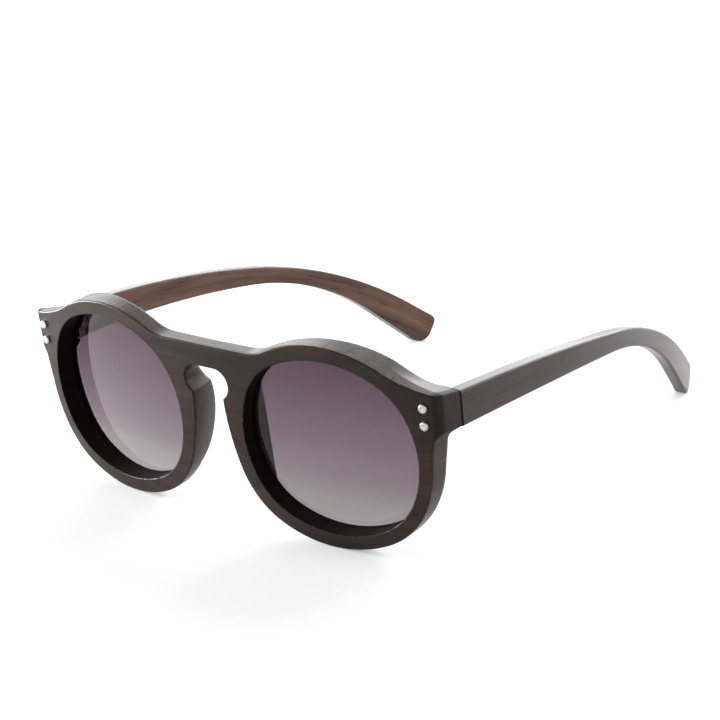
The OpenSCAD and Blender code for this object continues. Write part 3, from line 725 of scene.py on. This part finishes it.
def wood(name, stops, grain, roughness, shine, bent=False, darker_sides=False):
    """Oiled wood with its grain along one axis: 0 is x, 1 is y, 2 is z. Bent wood is an arm's."""
    material, tree, bsdf = shader(name)
    object_coords = tree.nodes.new("ShaderNodeTexCoord")
    axes = tree.nodes.new("ShaderNodeSeparateXYZ")
    link(tree, object_coords, "Object", axes, "Vector")
    coords = bent_grain(tree, axes) if bent else (object_coords, "Object")

    def stretched(across, lengthways, detail, rough):
        """Noise with so many waves a metre across and along the grain."""
        waves = [across] * 3
        waves[grain] = lengthways
        return noise(tree, coords, detail, rough, waves)

    fibre = stretched(760, 30, 5, 0.66)
    band = stretched(170, 9, 3, 0.55)
    patch = stretched(46, 12, 2, 0.5)
    pore = stretched(2100, 110, 2, 0.5)
    fibre_share, patch_share = 0.55, 0.6
    fine = math_node(tree, "MULTIPLY", (fibre, "Fac"), fibre_share)
    broad = math_node(tree, "MULTIPLY", (patch, "Fac"), patch_share)
    streak = math_node(tree, "ADD", (fine, "Value"), (band, "Fac"))
    mixed = math_node(tree, "ADD", (broad, "Value"), (streak, "Value"))
    level = span_node(tree, (mixed, "Value"), 0.66, 1.50)
    tone = ramp(tree, stops)
    link(tree, level, "Result", tone, "Fac")
    # dark pores along the grain
    pit = span_node(tree, (pore, "Fac"), 0.30, 0.42, 0.45, 1.0)
    colour = scaled(tree, (tone, "Color"), (pit, "Result"))
    rough = span_node(tree, (fibre, "Fac"), 0.25, 0.75, roughness + 0.07, roughness - 0.06)
    if darker_sides:
        # the outer sides of the end pieces are made darker and duller
        darker, duller = 0.35, 0.3
        start, full = end_x - 2.5, end_x - 1.5
        far = math_node(tree, "ABSOLUTE", (axes, "X"), 0)
        at_side = span_node(tree, (far, "Value"), start / 1000, full / 1000)
        shade = span_node(tree, (at_side, "Result"), 0, 1, 1.0, darker)
        colour = scaled(tree, colour, (shade, "Result"))
        dull = math_node(tree, "MULTIPLY", (at_side, "Result"), duller)
        rough = math_node(tree, "ADD", (rough, "Result"), (dull, "Value"))
    link(tree, *colour, bsdf, "Base Color")
    bsdf.inputs["Specular IOR Level"].default_value = shine
    link(tree, rough, 0, bsdf, "Roughness")
    bump = tree.nodes.new("ShaderNodeBump")
    bump.inputs["Strength"].default_value = 0.16
    bump.inputs["Distance"].default_value = 0.0002
    height = math_node(tree, "ADD", (fibre, "Fac"), (pit, "Result"))
    link(tree, height, "Value", bump, "Height")
    link(tree, bump, "Normal", bsdf, "Normal")
    return material


def tinted():
    """Tinted sheet, darker and more violet at the top, that shows what is behind it."""
    material, tree, bsdf = shader("tinted_sheet")
    coords = tree.nodes.new("ShaderNodeTexCoord")
    axes = tree.nodes.new("ShaderNodeSeparateXYZ")
    link(tree, coords, "Object", axes, "Vector")
    low_z, top_z, unevenness = 0.004, 0.050, 0.02
    height = span_node(tree, (axes, "Z"), low_z, top_z)
    cloud = noise(tree, (coords, "Object"), 2, 0.5, (60, 60, 60))
    sway = math_node(tree, "MULTIPLY", (cloud, "Fac"), unevenness)
    level = math_node(tree, "ADD", (height, "Result"), (sway, "Value"))
    # what one face lets through, from the lower edge to the upper one
    tint = ramp(tree, [(0.04, (0.550, 0.543, 0.545)), (0.17, (0.513, 0.498, 0.498)),
                       (0.30, (0.439, 0.396, 0.420)), (0.49, (0.373, 0.324, 0.358)),
                       (0.68, (0.321, 0.267, 0.305)), (0.87, (0.272, 0.206, 0.245)),
                       (0.95, (0.249, 0.183, 0.218))])
    link(tree, level, "Value", tint, "Fac")
    clear = tree.nodes.new("ShaderNodeBsdfTransparent")
    link(tree, tint, "Color", clear, "Color")
    gloss = tree.nodes.new("ShaderNodeBsdfGlossy")
    gloss.inputs["Roughness"].default_value = 0.04
    fresnel = tree.nodes.new("ShaderNodeFresnel")
    fresnel.inputs["IOR"].default_value = 1.42
    # only the face that light comes to from outside reflects
    facing = tree.nodes.new("ShaderNodeNewGeometry")
    outer = math_node(tree, "SUBTRACT", 1.0, (facing, "Backfacing"))
    mirrored = math_node(tree, "MULTIPLY", (fresnel, "Fac"), (outer, "Value"))
    mix = tree.nodes.new("ShaderNodeMixShader")
    link(tree, mirrored, "Value", mix, "Fac")
    link(tree, clear, 0, mix, 1)
    link(tree, gloss, 0, mix, 2)
    tree.nodes.remove(bsdf)
    link(tree, mix, "Shader", tree.nodes["Material Output"], "Surface")
    return material


def steel(name, colour, roughness, waves):
    """Satin metal with fine scratches, at a number of waves a metre along each axis."""
    material, tree, bsdf = shader(name)
    coords = tree.nodes.new("ShaderNodeTexCoord")
    brush = noise(tree, (coords, "Object"), 4, 0.6, waves)
    tone = ramp(tree, [(0.3, tuple(0.82 * c for c in colour)), (0.7, colour)])
    link(tree, brush, "Fac", tone, "Fac")
    link(tree, tone, "Color", bsdf, "Base Color")
    bsdf.inputs["Metallic"].default_value = 1.0
    satin = span_node(tree, (brush, "Fac"), 0, 1, roughness - 0.06, roughness + 0.08)
    link(tree, satin, "Result", bsdf, "Roughness")
    return material


def white_floor():
    """White floor: the lamps light it about the object, and further out its own glow keeps it as white."""
    near, near_glow = 0.3, 0.34
    far, far_glow = 1.0, 0.95
    material, tree, bsdf = shader("pale_floor")
    bsdf.inputs["Base Color"].default_value = (0.86, 0.86, 0.86, 1)
    bsdf.inputs["Roughness"].default_value = 0.7
    bsdf.inputs["Specular IOR Level"].default_value = 0.2
    coords = tree.nodes.new("ShaderNodeTexCoord")
    away = tree.nodes.new("ShaderNodeVectorMath")
    away.operation = "LENGTH"
    link(tree, coords, "Object", away, 0)
    fill = span_node(tree, (away, "Value"), near, far, near_glow, far_glow)
    level = math_node(tree, "MULTIPLY", (background_rays(tree), "Value"), (fill, "Result"))
    glow = tree.nodes.new("ShaderNodeEmission")
    link(tree, level, "Value", glow, "Strength")
    both = tree.nodes.new("ShaderNodeAddShader")
    link(tree, bsdf, 0, both, 0)
    link(tree, glow, 0, both, 1)
    link(tree, both, "Shader", tree.nodes["Material Output"], "Surface")
    return material


# Woods: places and colours from the dark to the light grain, and the axis of the grain
GRAIN_X, GRAIN_Y, GRAIN_Z = 0, 1, 2
FRONT_WOOD = wood("front_wood", [(0.25, (0.010, 0.0055, 0.004)), (0.5, (0.023, 0.0125, 0.0085)),
                                 (0.75, (0.041, 0.022, 0.0145))], GRAIN_X,
                  roughness=0.32, shine=0.22, darker_sides=True)
# painted shade: near-black wood for the walls of the lens openings and the faces of the joints
PAINTED_SHADE_WOOD = wood("painted_shade_wood", [(0.25, (0.003, 0.002, 0.002)), (0.5, (0.005, 0.004, 0.003)),
                             (0.75, (0.009, 0.006, 0.005))], GRAIN_Y,
                roughness=0.70, shine=0.05)
PAD_WOOD = wood("pad_wood", [(0.25, (0.010, 0.006, 0.0045)), (0.5, (0.022, 0.013, 0.009)),
                             (0.75, (0.038, 0.023, 0.015))], GRAIN_Z,
                roughness=0.42, shine=0.30)
ARM_WOOD = wood("temple_wood", [(0.15, (0.022, 0.014, 0.012)), (0.4, (0.045, 0.029, 0.025)),
                                (0.6, (0.062, 0.039, 0.033)), (0.85, (0.072, 0.050, 0.039))], GRAIN_Y,
                roughness=0.22, shine=0.26, bent=True)
INNER_WOOD = wood("inner_wood", [(0.15, (0.052, 0.031, 0.023)), (0.4, (0.140, 0.081, 0.060)),
                                 (0.6, (0.206, 0.112, 0.083)), (0.85, (0.225, 0.155, 0.100))], GRAIN_Y,
                  roughness=0.45, shine=0.15, bent=True)
# Lens sheet and metals
LENS = tinted()
HINGE_STEEL = steel("hinge_steel", (0.42, 0.42, 0.43), roughness=0.36, waves=(1500, 1500, 300))
RIVET_STEEL = steel("rivet_steel", (0.56, 0.54, 0.51), roughness=0.36, waves=(900, 900, 900))
SCREW_STEEL = steel("screw_steel", (0.52, 0.52, 0.53), roughness=0.30, waves=(900, 900, 900))


# Wooden pieces
def front_shade_faces(p):
    """1 for the faces of the lens openings' walls and of the joints, which get painted shade, 0 for the
    rest of the front.
    """
    wall = np.abs(eye(np.abs(p[:, 0]) - eye_x, p[:, 2])) < PAINT_DEPTH
    return (wall | (p[:, 1] > JOINT_Y - SEAM - PAINT_DEPTH)).astype(int)


def arm_sides(p):
    """2 for the faces of an arm's end at the joint, which get painted shade, 1 for its side at the head, 0
    for the rest.
    """
    inner = np.hypot(np.abs(p[:, 0]) - arm_cx, p[:, 1] - ARM_APEX_Y) < ARM_R - ARM_T + 2 * PAINT_DEPTH
    return np.where(p[:, 1] < arm_y + SEAM + PAINT_DEPTH, 2, inner.astype(int))


# corners of the boxes that are searched for wood, size of a grid cell, share of the faces to keep
FRONT_GRID = ((-67.5, -0.8, -28), (67.5, 16, 28), 0.32, 0.28)
ARM_GRID = ((40, 14.6, -46), (69.5, 157.5, 17.5), 0.36, 0.30)
PAD_GRID = ((3.5, 3.5, -19), (19.5, 11.6, 17), 0.3, 0.4)

front = carve("front_shell", front_field, *FRONT_GRID, paint=front_shade_faces)
show(front, "front", "front_frame", "front_wood", FRONT_WOOD, PAINTED_SHADE_WOOD)
for side, flip in (("left", False), ("right", True)):
    arm = carve(side + "_arm_shell", arm_field, *ARM_GRID, flip, arm_sides)
    show(arm, side + "_arm", side + "_temple", "temple_wood", ARM_WOOD, INNER_WOOD, PAINTED_SHADE_WOOD)
    pad = carve(side + "_pad_shell", pad_field, *PAD_GRID, flip)
    show(pad, "front", side + "_nose_pad", "pad_wood", PAD_WOOD)


# Rivets
def rivet(name, s, z):
    """A rivet with a flat, turned head and a small dimple, on side s (1 or -1) at height z."""
    face_y = FRONT_R - math.sqrt(FRONT_R ** 2 - rivet_x ** 2)
    seat = RIVET_HEAD_D / 2 * rivet_x / FRONT_R
    r, h, dimple_h = RIVET_HEAD_D / 2, RIVET_HEAD_H, 0.05
    # (radius, depth behind the seat): dimple, flat, rounded edge, side, shank
    profile = [(0.0, dimple_h - h), (0.1, dimple_h - h), (0.17, -h), (0.6, -h), (r - 0.26, -h),
               (r - 0.12, 0.04 - h), (r - 0.04, 0.13 - h), (r, 0.27 - h), (r, 0.0), (r, 0.25),
               (RIVET_SHANK_R, 0.3), (RIVET_SHANK_R, LEAF_Y + LEAF_T - face_y + seat)]
    around = 40
    points, faces = [], []
    for q, y in profile:
        for i in range(around):
            t = 2 * math.pi * i / around
            points.append((s * (rivet_x + q * math.cos(t)), face_y - seat + y, z + q * math.sin(t)))
    for k in range(len(profile) - 1):
        for i in range(around):
            a, b = k * around + i, k * around + (i + 1) % around
            face = [a, b, b + around, a + around]
            faces.append(face if s > 0 else face[::-1])
    end = list(range((len(profile) - 1) * around, len(profile) * around))
    faces.append(end if s > 0 else end[::-1])
    return new_object(name, new_mesh(name, stand(points), faces))


for side, s in (("left", 1), ("right", -1)):
    for level, z in (("upper", RIVET_TOP_Z), ("lower", RIVET_LOW_Z)):
        head = rivet(f"{side}_{level}_rivet_turned", s, z)
        show(head, "front", f"{side}_{level}_rivet", "rivet_steel", RIVET_STEEL)

# Lenses and hinges keep their solids
FINISHES = {"lens": LENS, "front_leaf": HINGE_STEEL, "temple_leaf": HINGE_STEEL,
            "hinge_screw": SCREW_STEEL, "near_screw": SCREW_STEEL, "far_screw": SCREW_STEEL}
for side in ("left", "right"):
    for part, material in FINISHES.items():
        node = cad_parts[f"{side}_{part}"]
        node.data.materials.clear()
        node.data.materials.append(material)

# Floor
FLOOR_HALF = 3.0
corners = [(x * FLOOR_HALF, y * FLOOR_HALF, 0) for x, y in ((-1, -1), (1, -1), (1, 1), (-1, 1))]
floor = new_object("floor", new_mesh("floor", corners, [(0, 1, 2, 3)]))
floor.data.materials.append(white_floor())

# Light
WORLD_LIGHT, WORLD_SEEN = 0.12, 1.0
scene = bpy.context.scene
world = bpy.data.worlds.new("studio")
scene.world = world
world.use_nodes = True
tree = world.node_tree
back = tree.nodes["Background"]
back.inputs["Color"].default_value = (1, 1, 1, 1)
level = span_node(tree, (background_rays(tree), "Value"), 0, 1, WORLD_LIGHT, WORLD_SEEN)
link(tree, level, "Result", back, "Strength")


def lamp(name, place, target, size, watts):
    """A soft panel of light at a place, facing a target."""
    data = bpy.data.lights.new(name, "AREA")
    data.shape = "RECTANGLE"
    data.size, data.size_y = size
    data.energy = watts
    made = new_object(name, data)
    made.location = place
    made.rotation_mode = "QUATERNION"
    made.rotation_quaternion = (Vector(target) - Vector(place)).to_track_quat("-Z", "Y")


lamp("key", (-0.80, -0.32, 0.16), (0, 0, 0.03), (0.5, 0.35), 18.0)
lamp("top", (0.05, 1.00, 0.70), (0, 0.10, 0.03), (1.1, 1.1), 13.0)
lamp("back", (-0.80, 0.95, 0.55), (0, 0, 0.03), (1.2, 0.8), 9.0)
lamp("side", (0.90, 0.60, 0.50), (0, 0, 0.03), (0.8, 0.8), 4.5)

# Camera, solved from the picture
azimuth, elevation, roll = (math.radians(a) for a in (40.006, 22.869, -6.267))
distance = 406.753
aim = np.array([50.058, 0.0, 26.668])
level_dir = np.array([math.sin(azimuth), -math.cos(azimuth), 0.0])
back_dir = math.cos(elevation) * level_dir + math.sin(elevation) * np.array([0.0, 0.0, 1.0])
right_dir = np.cross(-back_dir, [0, 0, 1])
right_dir /= np.linalg.norm(right_dir)
up_dir = np.cross(right_dir, -back_dir)
rolled_right = right_dir * math.cos(roll) + up_dir * math.sin(roll)
rolled_up = -right_dir * math.sin(roll) + up_dir * math.cos(roll)
camera_data = bpy.data.cameras.new("camera")
camera_data.sensor_width = 36
camera_data.lens = 90
camera_data.clip_start, camera_data.clip_end = 0.01, 20
camera = new_object("camera", camera_data)
turn = Matrix(np.stack([lean_only(v) for v in (rolled_right, rolled_up, back_dir)], 1).tolist())
camera.matrix_world = Matrix.Translation(Vector(stand(aim + back_dir * distance))) @ turn.to_4x4()
scene.camera = camera
scene.view_settings.view_transform = "Standard"
